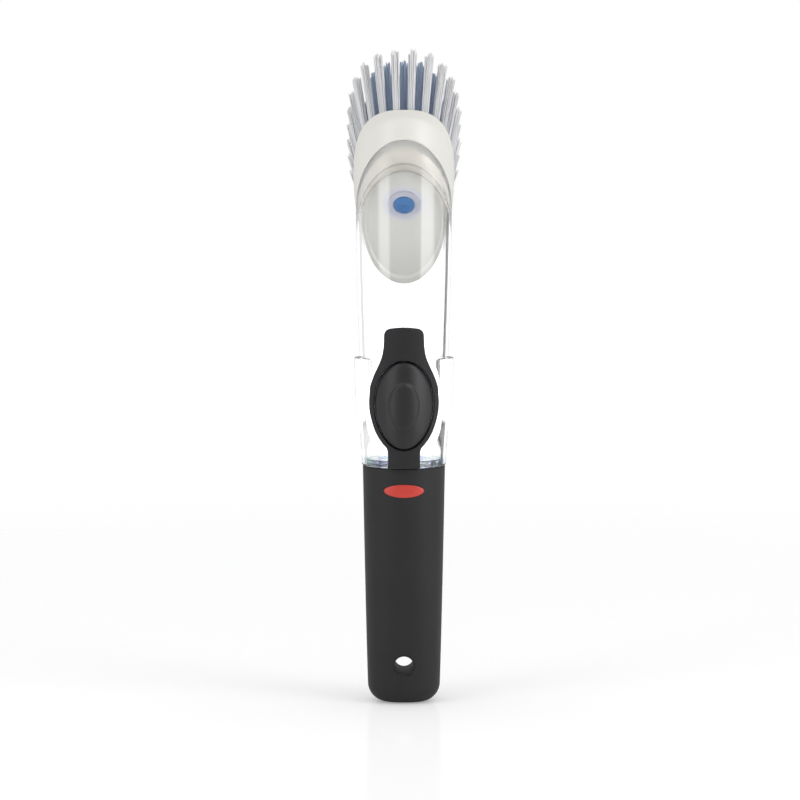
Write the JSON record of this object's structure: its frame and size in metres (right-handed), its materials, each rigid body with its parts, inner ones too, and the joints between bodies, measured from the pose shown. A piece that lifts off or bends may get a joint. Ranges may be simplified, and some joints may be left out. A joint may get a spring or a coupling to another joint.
{
  "type": "dish wand",
  "caption": "Dish wand with a soft grip, a clear soap reservoir with a thumb pump, a slanted valve nose and a pull-off oval brush head.",
  "frame": {"origin": "centre of the flat end of the grip", "axes": "+Z runs along the handle from the flat end to the brush, -Y is the thumb's side with the pump button, and the bristles lean towards +Y"},
  "size_m": [0.0469, 0.0803, 0.266],
  "materials": {
    "clear_plastic": "transparent, polished",
    "soft_black": "soft matte",
    "hard_black": "moulded matte",
    "red_inlay": "satin",
    "cream_plastic": "satin",
    "blue_silicone": "satin",
    "frosted_plastic": "frosted",
    "seal_rubber": "satin",
    "white_silicone": "satin",
    "white_nylon": "filament",
    "blue_nylon": "filament"
  },
  "bodies": {
    "reservoir": {"reservoir_tube": "clear_plastic", "neck_base": "clear_plastic", "nose_plug": "cream_plastic", "valve_ring": "frosted_plastic", "soap_valve": "blue_silicone", "spigot_seal": "seal_rubber", "button_bezel": "soft_black", "pump_diaphragm": "seal_rubber", "diaphragm_ring": "frosted_plastic"},
    "button": {"thumb_button": "soft_black", "button_core": "hard_black"},
    "seal": {"fill_seal": "white_silicone"},
    "handle": {"handle_core": "hard_black", "core_collar": "hard_black", "grip_sleeve": "soft_black", "oval_inlay": "red_inlay"},
    "head": {"head_shell": "cream_plastic", "bristle_block": "cream_plastic", "outer_tufts": "white_nylon", "blue_tufts": "blue_nylon", "inner_tufts": "white_nylon", "centre_tufts": "white_nylon"}
  },
  "joints": [
    {"name": "button_press", "type": "slide", "parent": "reservoir", "child": "button", "axis": [0, 1, 0], "range_m": [0, 0.003], "stiffness_N_per_m": 2000, "springref_m": -0.0005, "deforming": ["pump_diaphragm"]},
    {"name": "head_pull", "type": "slide", "parent": "reservoir", "child": "head", "axis": [0, 0.8192, 0.5736], "range_m": [0, 0.025]},
    {"name": "handle_pull", "type": "slide", "parent": "reservoir", "child": "seal", "axis": [0, 0, -1], "range_m": [0, 0.035]},
    {"name": "handle_twist", "type": "hinge", "parent": "seal", "child": "handle", "pos_m": [0, 0, 0.09], "axis": [0, 0, 1], "range_deg": [0, 90]}
  ]
}
